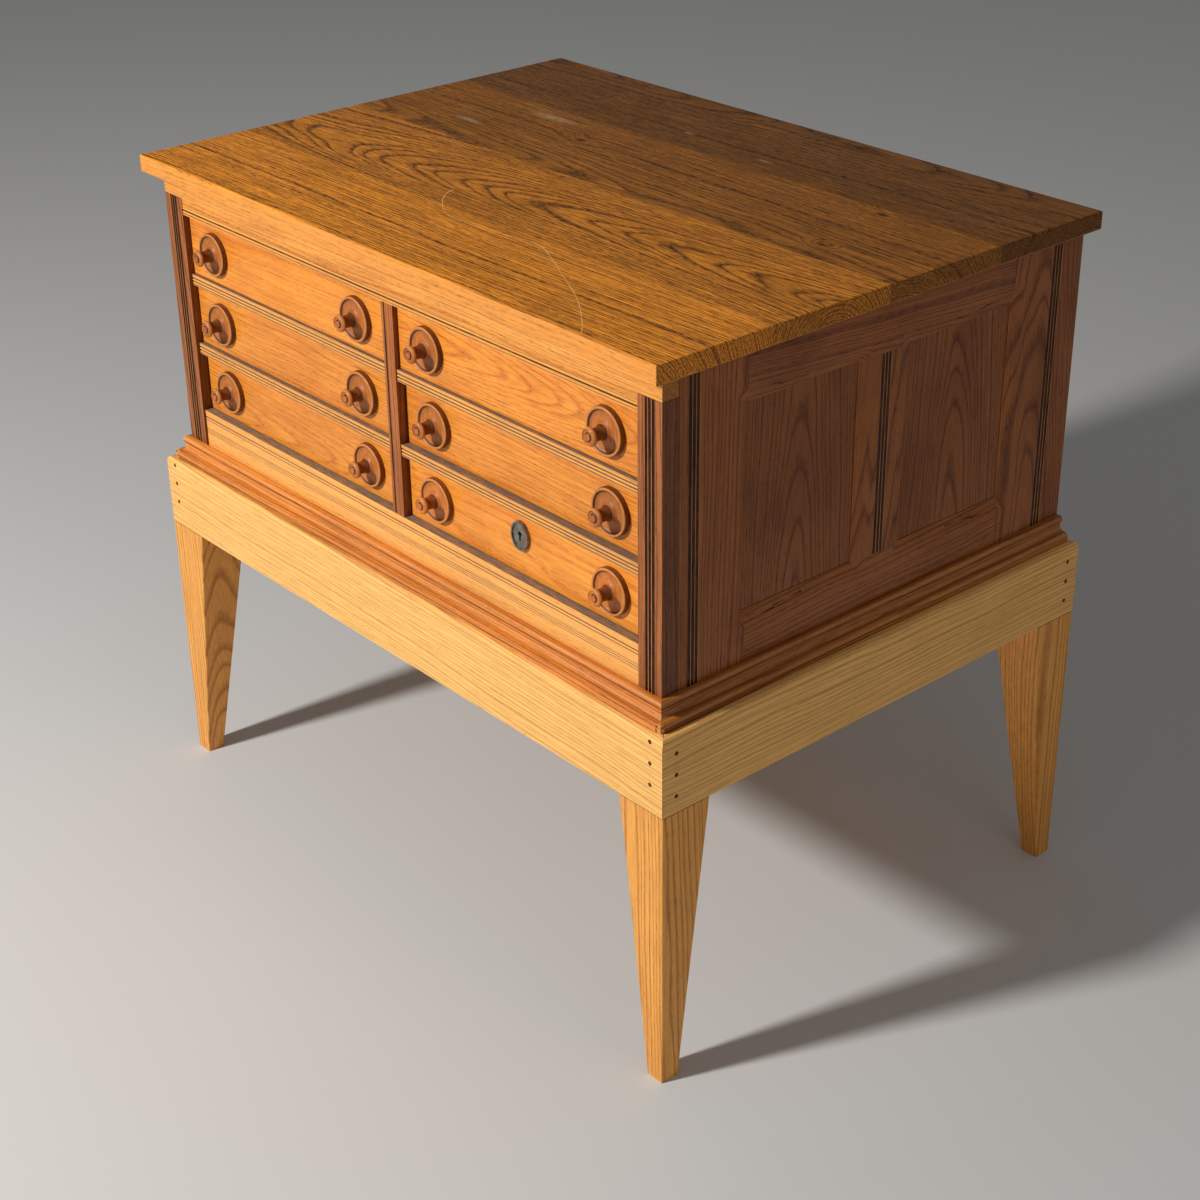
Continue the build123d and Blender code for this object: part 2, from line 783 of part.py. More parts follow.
def make_drawer(column, row):
    name = f"drawer_{column}_{row}"
    edge0, edge1 = column_edges[column]
    level = opening_levels[row]
    face = front_y + front_home_recess - pulled_out[(column, row)]
    front_back = face + front_thickness
    end = face + drawer_length
    base = level + running_gap

    bottom_low = base + bottom_above_edge
    bottom_high = bottom_low + bottom_thickness
    inner0 = edge0 + side_gap + side_board
    inner1 = edge1 - side_gap - side_board
    back_face = end - back_from_end - back_board
    bottom = block(
        inner0 - bottom_groove, inner1 + bottom_groove, front_back - bottom_groove, end,
        bottom_low, bottom_high,
    )
    back = block(
        inner0 - back_dado, inner1 + back_dado, back_face, back_face + back_board,
        bottom_high, base + side_height - back_drop,
    )
    side_places = ((edge0 + side_gap, inner0), (inner1, edge1 - side_gap))
    sides = []
    all_tails = []
    for x0, x1 in side_places:
        side = block(x0, x1, front_back, end, base, base + side_height)
        for tail in side_tails(x0, x1, front_back, base):
            side += tail
            all_tails.append(tail)
        sides.append(side - bottom - back)

    front = block(
        edge0 + front_side_gap, edge1 - front_side_gap, face, front_back,
        level + front_bottom_gap, level + opening_height - front_top_gap,
    )
    front = fillet(front.faces().sort_by(Axis.Y)[0].edges(), front_edge_round)
    for tail in all_tails:
        front -= tail
    front -= bottom
    middle_x = (edge0 + edge1) / 2
    middle_z = level + opening_height / 2
    knobs = []
    for side in (-1, 1):
        centre = (middle_x + side * knob_spacing / 2, face, middle_z)
        knobs.append(make_knob(*centre))
        front -= rod(centre, (0, 1, 0), dowel_radius + hole_clearance, dowel_length + hole_clearance)
    if (column, row) == ("right", "lower"):
        front -= lock_body()
        front -= keyhole(face, front_back)
    save(f"{name}_front", front)
    save(f"{name}_box", *sides, back)
    save(f"{name}_bottom", bottom)
    save(f"{name}_knobs", *knobs)


os.makedirs("parts", exist_ok=True)
stand_screw_holes = make_stand()
make_top()
make_front_frame(stand_screw_holes)
make_sides()
make_carcass(stand_screw_holes)
make_base_moulding()
make_runners()
for drawer_column, drawer_row in pulled_out:
    make_drawer(drawer_column, drawer_row)
make_lock()
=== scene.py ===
import math
import random
from collections import namedtuple

import bmesh
import bpy
from mathutils import Matrix, Vector
from mathutils.bvhtree import BVHTree


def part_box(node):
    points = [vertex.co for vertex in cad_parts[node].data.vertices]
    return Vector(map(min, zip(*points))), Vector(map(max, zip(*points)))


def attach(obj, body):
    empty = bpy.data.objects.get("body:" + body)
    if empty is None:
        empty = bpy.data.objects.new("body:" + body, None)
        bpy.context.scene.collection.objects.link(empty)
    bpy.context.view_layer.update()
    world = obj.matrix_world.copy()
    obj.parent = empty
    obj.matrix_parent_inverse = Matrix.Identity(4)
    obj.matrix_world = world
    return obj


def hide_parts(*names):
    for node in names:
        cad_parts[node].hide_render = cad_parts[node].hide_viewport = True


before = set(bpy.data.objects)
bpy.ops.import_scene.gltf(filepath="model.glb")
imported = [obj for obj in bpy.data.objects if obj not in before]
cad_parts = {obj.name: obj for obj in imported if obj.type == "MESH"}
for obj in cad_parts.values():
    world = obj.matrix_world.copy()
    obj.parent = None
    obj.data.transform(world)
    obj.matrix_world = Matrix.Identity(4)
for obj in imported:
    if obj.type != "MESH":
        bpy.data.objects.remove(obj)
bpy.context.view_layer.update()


# Camera
# The photograph looks down on the front right corner of the chest from a little above eye height.
# Its place, turn and lens were fitted to the corners of the top, the case and the stand.
CAMERA_PLACE = (1.66791, -1.4426, 1.44833)
CAMERA_TURN = math.radians(49.24)
CAMERA_DOWN = math.radians(28.18)
CAMERA_ROLL = math.radians(-0.79)
SENSOR_MM = 36.0
LENS_MM = 65.4


def placed(name, data):
    """A new object of that name in the scene."""
    made = bpy.data.objects.new(name, data)
    bpy.context.collection.objects.link(made)
    return made


backward = Vector((
    math.sin(CAMERA_TURN) * math.cos(CAMERA_DOWN),
    -math.cos(CAMERA_TURN) * math.cos(CAMERA_DOWN),
    math.sin(CAMERA_DOWN),
))
level_right = Vector((0, 0, 1)).cross(backward).normalized()
level_up = backward.cross(level_right)
right = level_right * math.cos(CAMERA_ROLL) + level_up * math.sin(CAMERA_ROLL)
up = level_up * math.cos(CAMERA_ROLL) - level_right * math.sin(CAMERA_ROLL)
camera = placed("camera", bpy.data.cameras.new("camera"))
camera.data.sensor_width = SENSOR_MM
camera.data.lens = LENS_MM
camera.data.clip_end = 60.0
camera.matrix_world = Matrix.Translation(CAMERA_PLACE) @ Matrix((right, up, backward)).transposed().to_4x4()
bpy.context.scene.camera = camera


# Legs
# Four legs of newer plain-sawn oak, sawn to a taper on the two inner faces and planed, then oiled.
# Their upper posts stand inside the apron corners, where the nails hold them.
MM = 0.001
DUST_GREY = "#665f56"
SCUFFED_WAX = "#c4ab84"


def linear(hex_colour):
    """An sRGB hex colour as a linear colour with full alpha."""
    channels = [int(hex_colour[i:i + 2], 16) / 255 for i in (1, 3, 5)]
    return tuple(c / 12.92 if c <= 0.04045 else ((c + 0.055) / 1.055) ** 2.4 for c in channels) + (1.0,)


def new_material(name):
    """A material whose node tree is still empty, and that tree."""
    material = bpy.data.materials.new(name)
    material.use_nodes = True
    material.node_tree.nodes.clear()
    return material, material.node_tree


def add(tree, kind, inputs=(), output=0, stops=(), **settings):
    """Adds one shader node with its settings and its ramp's stops, and gives one of its outputs.

    inputs are values or links, by name or number, or in a row from the first one on.
    """
    made = tree.nodes.new(kind)
    for name, value in settings.items():
        setattr(made, name, value)
    for index, (place, colour) in enumerate(stops):
        stop = made.color_ramp.elements[index] if index < 2 else made.color_ramp.elements.new(place)
        stop.position = place
        stop.color = linear(colour)
    for name, value in (inputs if isinstance(inputs, dict) else dict(enumerate(inputs))).items():
        if isinstance(value, bpy.types.NodeSocket):
            tree.links.new(value, made.inputs[name])
        else:
            made.inputs[name].default_value = value
    return made.outputs[output] if made.outputs else None


def reach_from(tree, place, spot, factors):
    """How far a place is from a spot in mm, with each axis multiplied by its factor."""
    centre = tuple(part * MM for part in spot)
    away = add(tree, "ShaderNodeVectorMath", (place, centre), operation="SUBTRACT")
    stretched = add(tree, "ShaderNodeVectorMath", (away, factors), operation="MULTIPLY")
    return add(tree, "ShaderNodeVectorMath", (stretched,), "Value", operation="LENGTH")


def oak(name, pale, brown, pore, bare, ring_mm, pore_strength=0.6, pore_share=0.52, streaks=(0.84, 1.14),
        roughness=0.42, coat=0.1, stain="#5a3418", stain_amount=0.3, dirt_and_shade="#24100a", knots=(), scuffs=()):
    """Plain-sawn oak as a solid of growth rings, cut by each board where it was sawn from the log.

    The mesh carries the place of each point in its log, in metres with X along the grain.
    pore_share is the level of the noise from which pores open, and streaks how dark and light fibres get.
    knots are (x, y, z, size) and scuffs (x, y, z, length, width), all in mm on the finished piece.
    """
    material, tree = new_material(name)
    log = add(tree, "ShaderNodeAttribute", output="Vector", attribute_name="log_place")
    place = add(tree, "ShaderNodeTexCoord", output="Object") if knots or scuffs else None

    # The trunk isn't straight: the rings sway by up to 9 mm over lengths of about 300 mm
    slow = add(tree, "ShaderNodeVectorMath", (log, (3.0, 11.0, 11.0)), operation="MULTIPLY")
    sway = add(tree, "ShaderNodeTexNoise", {"Vector": slow, "Scale": 1.0, "Detail": 2.0}, "Color")
    centred = add(tree, "ShaderNodeVectorMath", (sway, (0.5, 0.5, 0.5)), operation="SUBTRACT")
    moved = add(tree, "ShaderNodeVectorMath", {0: centred, "Scale": 18 * MM}, operation="SCALE")
    swayed = add(tree, "ShaderNodeVectorMath", (log, moved), operation="ADD")
    flat = add(tree, "ShaderNodeVectorMath", (swayed, (0.0, 1.0, 1.0)), operation="MULTIPLY")
    radius = add(tree, "ShaderNodeVectorMath", (flat,), "Value", operation="LENGTH")

    # The rings bend round a knot, out to 4.5 times its size, and its heart is dark
    hearts = []
    for x, y, z, size in knots:
        reach = reach_from(tree, place, (x, y, z), (0.5, 1.0, 1.0))
        push = add(tree, "ShaderNodeMapRange", (reach, 0.0, 4.5 * size * MM, 1.0, 0.0),
                   interpolation_type="SMOOTHERSTEP")
        radius = add(tree, "ShaderNodeMath", (push, 1.6 * size * MM, radius), operation="MULTIPLY_ADD")
        hearts.append(add(tree, "ShaderNodeMapRange",
                          (reach, 0.25 * size * MM, 0.8 * size * MM, 0.85, 0.0)))

    # Rings are ring_mm wide on average, and wide and narrow years follow each other
    years = add(tree, "ShaderNodeMath", (radius, ring_mm * MM), operation="DIVIDE")
    weather = add(tree, "ShaderNodeTexNoise", {"W": years, "Scale": 0.35, "Detail": 1.0}, "Fac",
                  noise_dimensions="1D")
    uneven = add(tree, "ShaderNodeMath", (weather, 2.2, years), operation="MULTIPLY_ADD")
    season = add(tree, "ShaderNodeMath", (uneven,), operation="FRACT")
    ring = add(tree, "ShaderNodeValToRGB", (season,),
               stops=((0.0, brown), (1.0, brown), (0.3, pale), (0.86, pale)))
    figure = add(tree, "ShaderNodeAttribute", output="Fac", attribute_name="figure")
    drawn = add(tree, "ShaderNodeMix", {0: figure, 6: linear(pale), 7: ring}, 2, data_type="RGBA")

    # Pores, most of them in early wood: 10 mm long and 1.1 mm wide, about four times as coarse as real
    # ones, so that they show
    early = add(tree, "ShaderNodeMapRange", (season, 0.0, 0.5, 1.0, 0.22))
    fine = add(tree, "ShaderNodeVectorMath", (log, (100.0, 900.0, 900.0)), operation="MULTIPLY")
    vessels = add(tree, "ShaderNodeTexNoise", {"Vector": fine, "Scale": 1.0, "Detail": 1.0}, "Fac")
    opened = add(tree, "ShaderNodeMapRange", (vessels, pore_share, pore_share + 0.11))
    pores = add(tree, "ShaderNodeMath", (opened, early), operation="MULTIPLY")
    filled = add(tree, "ShaderNodeMath", (pores, pore_strength), operation="MULTIPLY")
    wood = add(tree, "ShaderNodeMix", {0: filled, 6: drawn, 7: linear(pore)}, 2, data_type="RGBA")

    # Fibres: fine lengthwise streaks, 2 mm wide and about 80 mm long
    thread = add(tree, "ShaderNodeVectorMath", (log, (12.0, 480.0, 480.0)), operation="MULTIPLY")
    fibres = add(tree, "ShaderNodeTexNoise", {"Vector": thread, "Scale": 1.0, "Detail": 3.0}, "Fac")
    streak = add(tree, "ShaderNodeMapRange", (fibres, 0.3, 0.7, *streaks))

    # Board by board the log was a little darker or lighter
    tone = add(tree, "ShaderNodeAttribute", output="Fac", attribute_name="tone")
    value = add(tree, "ShaderNodeMath", (streak, tone), operation="MULTIPLY")
    toned = add(tree, "ShaderNodeHueSaturation", {"Value": value, "Color": wood})

    # Handling and old polish left darker clouds, 50 to 150 mm across
    broad = add(tree, "ShaderNodeVectorMath", (log, (7.0, 14.0, 14.0)), operation="MULTIPLY")
    clouds = add(tree, "ShaderNodeTexNoise",
                 {"Vector": broad, "Scale": 1.0, "Detail": 4.0, "Roughness": 0.6}, "Fac")
    cloud = add(tree, "ShaderNodeMapRange", (clouds, 0.45, 0.75, 0.0, stain_amount))
    colour = add(tree, "ShaderNodeMix", {0: cloud, 6: toned, 7: linear(stain)}, 2, data_type="RGBA")

    # Specks: small dents and burns 1 to 1.5 mm across, one to about every 25 mm
    scattered = add(tree, "ShaderNodeVectorMath", (log, (34.0, 44.0, 44.0)), operation="MULTIPLY")
    cells = add(tree, "ShaderNodeTexVoronoi", {"Vector": scattered, "Scale": 1.0}, "Distance")
    speck = add(tree, "ShaderNodeMapRange", (cells, 0.02, 0.045, 0.75, 0.0))
    colour = add(tree, "ShaderNodeMix", {0: speck, 6: colour, 7: linear(pore)}, 2, data_type="RGBA")
    for heart in hearts:
        colour = add(tree, "ShaderNodeMix", {0: heart, 6: colour, 7: linear(dirt_and_shade)}, 2, data_type="RGBA")

    # Dirt settles in hollows and joints, and shade is painted there in the same dark colour; edges are
    # rubbed down to paler wood in patches
    patch = add(tree, "ShaderNodeVectorMath", (log, (60.0, 300.0, 300.0)), operation="MULTIPLY")
    rubbing = add(tree, "ShaderNodeTexNoise",
                  {"Vector": patch, "Scale": 1.0, "Detail": 4.0, "Roughness": 0.65}, "Fac")
    patchy = add(tree, "ShaderNodeMapRange", (rubbing, 0.3, 0.6, 0.65, 1.0))
    grime = add(tree, "ShaderNodeAttribute", output="Fac", attribute_name="grime")
    darkening = add(tree, "ShaderNodeMath", (grime, patchy), operation="MULTIPLY")
    colour = add(tree, "ShaderNodeMix", {0: darkening, 6: colour, 7: linear(dirt_and_shade)}, 2, data_type="RGBA")
    rubbed = add(tree, "ShaderNodeMapRange", (rubbing, 0.3, 0.55, 0.3, 0.88))
    wear = add(tree, "ShaderNodeAttribute", output="Fac", attribute_name="wear")
    worn = add(tree, "ShaderNodeMath", (wear, rubbed), operation="MULTIPLY")
    colour = add(tree, "ShaderNodeMix", {0: worn, 6: colour, 7: linear(bare)}, 2, data_type="RGBA")

    # Grey dust lies on the ledges that nobody wipes
    dust = add(tree, "ShaderNodeAttribute", output="Fac", attribute_name="dust")
    dusty = add(tree, "ShaderNodeMath", (dust, patchy), operation="MULTIPLY")
    colour = add(tree, "ShaderNodeMix", {0: dusty, 6: colour, 7: linear(DUST_GREY)}, 2, data_type="RGBA")

    # Scuffs through the wax, broken up by the grain
    for x, y, z, length, width in scuffs:
        reach = reach_from(tree, place, (x, y, z), (2 / (length * MM), 2 / (width * MM), 0.0))
        inside = add(tree, "ShaderNodeMapRange", (reach, 0.2, 1.0, 0.8, 0.0))
        broken = add(tree, "ShaderNodeMapRange", (vessels, 0.42, 0.56))
        scuffed = add(tree, "ShaderNodeMath", (inside, broken), operation="MULTIPLY")
        colour = add(tree, "ShaderNodeMix", {0: scuffed, 6: colour, 7: linear(SCUFFED_WAX)}, 2,
                     data_type="RGBA")

    # Open pores, specks and soft early wood lie 0.1 to 0.2 mm below the polish, and pores and dust are dull
    sunk = add(tree, "ShaderNodeMath", (pores, -0.8, streak), operation="MULTIPLY_ADD")
    dented = add(tree, "ShaderNodeMath", (speck, -1.0, sunk), operation="MULTIPLY_ADD")
    relief = add(tree, "ShaderNodeBump", {"Height": dented, "Distance": 0.25 * MM, "Strength": 0.6})
    dull = add(tree, "ShaderNodeMapRange", (clouds, 0.3, 0.7, roughness - 0.07, roughness + 0.1))
    pored = add(tree, "ShaderNodeMath", (pores, 0.25, dull), operation="MULTIPLY_ADD")
    rough = add(tree, "ShaderNodeMath", (dusty, 0.4, pored), operation="MULTIPLY_ADD")
    shader = add(tree, "ShaderNodeBsdfPrincipled", {
        "Base Color": colour, "Roughness": rough, "Normal": relief, "Coat Weight": coat,
        "Coat Roughness": 0.3, "IOR": 1.5, "Specular IOR Level": 0.3,
    })
    add(tree, "ShaderNodeOutputMaterial", (shader,))
    return material


def solids_of(mesh):
    """The closed solids of a node's mesh, each a list of its faces' corners."""
    places = [tuple(vertex.co) for vertex in mesh.vertices]
    found, current, open_edges = [], [], set()
    for polygon in mesh.polygons:
        corners = [places[i] for i in polygon.vertices]
        current.append(corners)
        for a, b in zip(corners, corners[1:] + corners[:1]):
            if a != b:
                open_edges ^= {frozenset((a, b))}
        if not open_edges:
            found.append(current)
            current = []
    return found


solids = {node: solids_of(source.data) for node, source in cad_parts.items()}
all_corners, all_faces, owners = [], [], []
for node, node_solids in solids.items():
    for number, solid in enumerate(node_solids):
        for corners in solid:
            all_faces.append(list(range(len(all_corners), len(all_corners) + len(corners))))
            all_corners += corners
            owners.append((node, number))
surroundings = BVHTree.FromPolygons(all_corners, all_faces)

# A joint runs where another solid lies nearer than this, in mm
JOINT_GAP = 0.6


def meets_another(place, owner):
    """Whether a place on one solid, whose node and number are its owner, lies in a joint with another."""
    return any(owners[near[2]] != owner for near in surroundings.find_nearest_range(place, JOINT_GAP * MM))


def sawing(low, high, chance, grain=None, heart_mm=None, aside_mm=None, lean=None):
    """How a board was cut from its log, as a function from a point of it to its place in the log.

    heart_mm is how far the log's heart lies below the board's face and aside_mm how far to its side.
    lean is how much the board runs out of the log's direction, which draws the pointed figure.
    What isn't given is drawn by chance, and so is the stretch of log, so that no two boards match.
    """
    order = sorted(range(3), key=lambda i: low[i] - high[i])
    along = "xyz".index(grain) if grain else order[0]
    wide, thin = [i for i in order if i != along]
    heart = heart_mm if heart_mm is not None else chance.uniform(45, 110)
    aside = aside_mm if aside_mm is not None else chance.uniform(-70, 70)
    runout = lean if lean is not None else chance.uniform(-0.05, 0.05)
    far_off = 12.0 * chance.random()
    middle = (low + high) / 2

    def place_in_log(point):
        x = point[along] - middle[along]
        return (
            x + far_off,
            point[wide] - middle[wide] + aside * MM + 0.3 * runout * x,
            point[thin] - middle[thin] + heart * MM + runout * x,
        )
    return place_in_log


def meshed(solid):
    """A solid as an editable mesh, its flat faces whole."""
    work = bmesh.new()
    corner_at = {}
    for corners in solid:
        for place in corners:
            if place not in corner_at:
                corner_at[place] = work.verts.new(place)
        around = [corner_at[place] for place in corners]
        if len(set(around)) == len(around) and not work.faces.get(around):
            work.faces.new(around)
    bmesh.ops.dissolve_limit(work, angle_limit=math.radians(0.3), verts=work.verts, edges=work.edges)
    return work


# Edges longer than this in mm and sharper than this are eased, and below the last angle facets look round
EASED_LENGTH = 5.0
EASED_ANGLE = math.radians(40)
SMOOTH_ANGLE = math.radians(21)


def ease_edges(work, owner, ease_mm, tight):
    """Rounds a board's edges over, all but those of tight joints, and gives the layer that marks it."""
    eased_layer = work.faces.layers.int.new("eased")
    work.normal_update()
    edges = [
        edge for edge in work.edges
        if edge.is_manifold and edge.is_convex and edge.calc_length() > EASED_LENGTH * MM
        and edge.calc_face_angle(0.0) > EASED_ANGLE
    ]
    if tight:
        edges = [
            edge for edge in edges
            if not meets_another((edge.verts[0].co + edge.verts[1].co) / 2, owner)
        ]
    if ease_mm and edges:
        eased = bmesh.ops.bevel(work, geom=edges, offset=ease_mm * MM, segments=2, profile=0.5,
                                affect="EDGES", clamp_overlap=True)
        for face in eased["faces"]:
            face[eased_layer] = 1
    return eased_layer


# How dark a face is from dirt and painted shade, how rubbed and how dusty, each from 0 to 1
SoilAndShade = namedtuple("SoilAndShade", ("grime", "wear", "dust"), defaults=(0.0, 0.0, 0.0))


def board(node, body, material, slot, seed, ease_mm=0.5, tight=False, tone=1.0, tone_spread=0.06,
          figure=1.0, looks=(), soil_and_shade=None, reshape=None, **sawn):
    """Dresses a node's boards one by one: eased edges, place in the log, tone, wear, soiling, painted shade
    and dust.

    looks has one set of tone, figure and sawing for each board. Tight joints keep their edges sharp.
    The function given after looks gives each face its soiling, painted shade, wear and dust, from the face
    and its board's lowest and highest corners.
    reshape works on each board's mesh before that, such as to chip it.
    """
    points, faces, places = [], [], []
    layers = {"tone": [], "figure": [], "grime": [], "wear": [], "dust": []}
    for number, solid in enumerate(solids[node]):
        look = dict(sawn, **(looks[number % len(looks)] if looks else {}))
        board_tone, board_figure = look.pop("tone", tone), look.pop("figure", figure)
        chance = random.Random(seed + 17 * number)
        low = Vector(min(place[i] for corners in solid for place in corners) for i in range(3))
        high = Vector(max(place[i] for corners in solid for place in corners) for i in range(3))
        work = meshed(solid)
        eased_layer = ease_edges(work, (node, number), ease_mm, tight)
        if reshape:
            reshape(work)
        place_in_log = sawing(low, high, chance, **look)
        shade = board_tone * (1 + tone_spread * chance.uniform(-1, 1))
        work.verts.index_update()
        work.normal_update()
        for face in work.faces:
            state = soil_and_shade(face, low, high) if soil_and_shade else SoilAndShade()
            if face[eased_layer]:
                joint = meets_another(face.calc_center_median(), (node, number))
                state = SoilAndShade(0.7 if joint else 0.0, 0.0 if joint else 1.0, state.dust)
            faces.append([len(points) + vertex.index for vertex in face.verts])
            for layer, amount in dict(state._asdict(), tone=shade, figure=board_figure).items():
                layers[layer].append(amount)
        for vertex in work.verts:
            places += place_in_log(vertex.co)
        points += [tuple(vertex.co) for vertex in work.verts]
        work.free()
    mesh = bpy.data.meshes.new(node + "_boards")
    mesh.from_pydata(points, [], faces)
    mesh.attributes.new("log_place", "FLOAT_VECTOR", "POINT").data.foreach_set("vector", places)
    for layer, amounts in layers.items():
        mesh.attributes.new(layer, "FLOAT", "FACE").data.foreach_set("value", amounts)
    mesh.polygons.foreach_set("use_smooth", [True] * len(faces))
    mesh.set_sharp_from_angle(angle=SMOOTH_ANGLE)
    mesh.materials.append(material)
    piece = placed(node + "_dressed", mesh)
    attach(piece, body)
    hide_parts(node)


# Oiled oak gives a warm yellow brown with clear rings and a low sheen
leg_oak = oak("oiled_leg_oak", "#f8ad52", "#cc7f30", "#7d4419", "#f7c480", ring_mm=4.6,
              pore_strength=0.4, roughness=0.46, coat=0.08, stain="#c07a32", stain_amount=0.3)
leg_looks = {
    "front_left": {"heart_mm": 6, "aside_mm": 48, "lean": 0.0},
    "front_right": {"heart_mm": 40, "aside_mm": 12, "lean": 0.03},
    "back_left": {"heart_mm": 70, "aside_mm": -30, "lean": -0.02},
    "back_right": {"heart_mm": 10, "aside_mm": -52, "lean": 0.01},
}
for number, (corner, sawn) in enumerate(leg_looks.items()):
    board(f"leg_{corner}", "case", leg_oak, "stand_oak", seed=31 + number, ease_mm=0.6, grain="z",
          **sawn)


# Aprons
# Four boards of the same newer oak, rounded along the upper outer edge and mitred at the corners.
# Cleats inside them carry the case.

# The wood is paler and yellower than the legs', with straight grain in lines 4 to 5 mm apart
apron_oak = oak("oiled_apron_oak", "#fdc26e", "#db9848", "#945a28", "#fbcf92", ring_mm=4.2,
                pore_strength=0.25, roughness=0.46, coat=0.06, stain="#e0a054", stain_amount=0.2)
apron_looks = {
    "front": {"heart_mm": 40, "aside_mm": 105, "lean": 0.05},
    "right": {"heart_mm": 45, "aside_mm": -90, "lean": -0.02},
    "back": {"heart_mm": 90, "aside_mm": 10, "lean": 0.02},
    "left": {"heart_mm": 60, "aside_mm": 45, "lean": 0.05},
}
for number, (side, sawn) in enumerate(apron_looks.items()):
    board(f"apron_{side}", "case", apron_oak, "stand_oak", seed=41 + number, tone=1.04, **sawn)
board("stand_cleats", "case", apron_oak, "stand_oak", seed=51, tone=0.7)


# Nails and screws
# Steel wire nails hold the apron corners to the posts, and screws go up through the cleats into the case.
# They are small, and age has made them dull and dark.
def old_metal(name, waves, stops, metallic, roughness):
    """Dull metal whose colour shifts in patches, that many waves of them to a metre."""
    material, tree = new_material(name)
    place = add(tree, "ShaderNodeTexCoord", output="Object")
    patches = add(tree, "ShaderNodeTexNoise", {"Vector": place, "Scale": waves, "Detail": 2.0}, "Fac")
    colour = add(tree, "ShaderNodeValToRGB", (patches,), stops=stops)
    shader = add(tree, "ShaderNodeBsdfPrincipled", {
        "Base Color": colour, "Metallic": metallic, "Roughness": roughness,
    })
    add(tree, "ShaderNodeOutputMaterial", (shader,))
    return material


def finish_fittings(nodes, finish):
    """Gives nodes that are shown as their solids a material."""
    for node in nodes:
        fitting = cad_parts[node]
        fitting.data.materials.clear()
        fitting.data.materials.append(finish)


# Rust specks of about 0.5 mm make the steel brown
steel = old_metal("aged_steel", 1900.0, [(0.35, "#3a2716"), (0.7, "#654829")], 0.5, 0.6)
finish_fittings(("apron_nails", "cleat_screws"), steel)


# Case carcass
# Bottom, middle partition and back boards of plain secondary wood. The drawers slide on its runners,
# between guides and under kickers, and stops behind them end their way in.

# Unfinished wood is dry, matt and beige, with weak pores
inner_oak = oak("bare_inner_wood", "#ca9a5c", "#a6733c", "#6d4624", "#d6ae76", ring_mm=3.6,
                pore_strength=0.3, roughness=0.7, coat=0.0, stain="#7d5532", stain_amount=0.4)
for number, node in enumerate(("case_bottom", "centre_partition", "back_boards", "drawer_runners",
                               "drawer_kickers", "drawer_guides", "drawer_stops")):
    board(node, "case", inner_oak, "inner_wood", seed=61 + number, ease_mm=0.4, tone=0.85,
          tone_spread=0.14)


# Framed sides
# Stiles and rails of old oak, joined round two flat panels with a wide bevel at their edges.
# The flutes in the stiles hold the dirt of a century, and painted shade darkens them further.

# Old shellac makes the sides a dark red brown with some gloss
stile_oak = oak("dark_shellacked_oak", "#b0652c", "#84431a", "#3f1a0a", "#dc8e48", ring_mm=3.2,
                pore_strength=0.55, roughness=0.38, stain="#5e2a10", stain_amount=0.5, dirt_and_shade="#160a05")

# In mm: how deep a hollow starts, how wide its facets are at most, and how wide those of a crest are
HOLLOW_FROM = 0.35
HOLLOW_FACET = 2.4
CREST_FACET = 1.7


def hollows(axis, face_place, depth_mm, dusty=False, all_over=0.0):
    """Soiling and painted shade for a face worked with beads or flutes: dark in the hollows, a little
    rubbed on the crests.

    axis is the one that the face looks along and face_place where it lies on it. all_over is wear on all
    of it. Faces of a front board that look sideways are darker, as end grain that has drunk more polish and
    as painted shade.
    """
    across = [i for i in range(3) if i != axis]

    def soil_and_shade(face, low, high):
        grime, wear = 0.0, all_over
        deep = abs(face.calc_center_median()[axis] - face_place) / MM
        if deep < depth_mm + 0.5 and abs(face.normal[axis]) > 0.05:
            narrow = min(
                max(vertex.co[i] for vertex in face.verts) - min(vertex.co[i] for vertex in face.verts)
                for i in across)
            # Hollows are darkened by dirt and by painted shade, the deeper the darker
            if deep > HOLLOW_FROM and narrow < HOLLOW_FACET * MM:
                grime, wear = min((deep - 0.2) / 0.7, 1.0), 0.0
            elif deep <= HOLLOW_FROM and narrow < CREST_FACET * MM:
                wear = max(all_over, 0.5)
        # Faces that look sideways are painted darker: end grain that took more polish, and painted shade
        if axis == 1 and abs(face.normal.x) > 0.9:
            grime, wear = 0.5, 0.0
        return SoilAndShade(grime, wear, 0.95 if dusty and face.normal.z > 0.8 else 0.0)
    return soil_and_shade


FLUTE_DEPTH = 1.9
for number, side in enumerate(("left", "right")):
    face_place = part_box(f"side_frame_{side}")[number][0]
    board(f"side_frame_{side}", "case", stile_oak, "old_oak_case", seed=81 + 9 * number, ease_mm=0.3,
          tone=0.9, tone_spread=0.12, soil_and_shade=hollows(0, face_place, FLUTE_DEPTH))
board("side_panels", "case", stile_oak, "old_oak_case", seed=101, ease_mm=0.0, tone=0.82, heart_mm=45,
      aside_mm=0, lean=0.05, grain="z")


# Front frame
# Fascia, rails and stiles of old oak, with the divider rails tenoned into the stiles. Beads and flutes
# were run with a moulding plane.
# Their crests are rubbed pale, and old polish and dirt have darkened the hollows and the stiles.
# Painted shade darkens the hollows and the faces that look sideways as well.

# In mm, for the top rail, the other rails and the centre stile
TOP_BEAD_DEPTH = 1.9
BEAD_DEPTH = 1.7
GROOVE_DEPTH = 1.2

# Worn shellac over oak shines a little and is orange, and the dirt and painted shade in it are red brown
case_oak = oak("shellacked_case_oak", "#ee9e40", "#c86f28", "#6b3010", "#f6b668", ring_mm=3.2,
               pore_strength=0.6, pore_share=0.5, streaks=(0.72, 1.2), roughness=0.38,
               stain="#94481a", stain_amount=0.4, dirt_and_shade="#3d1a0a")


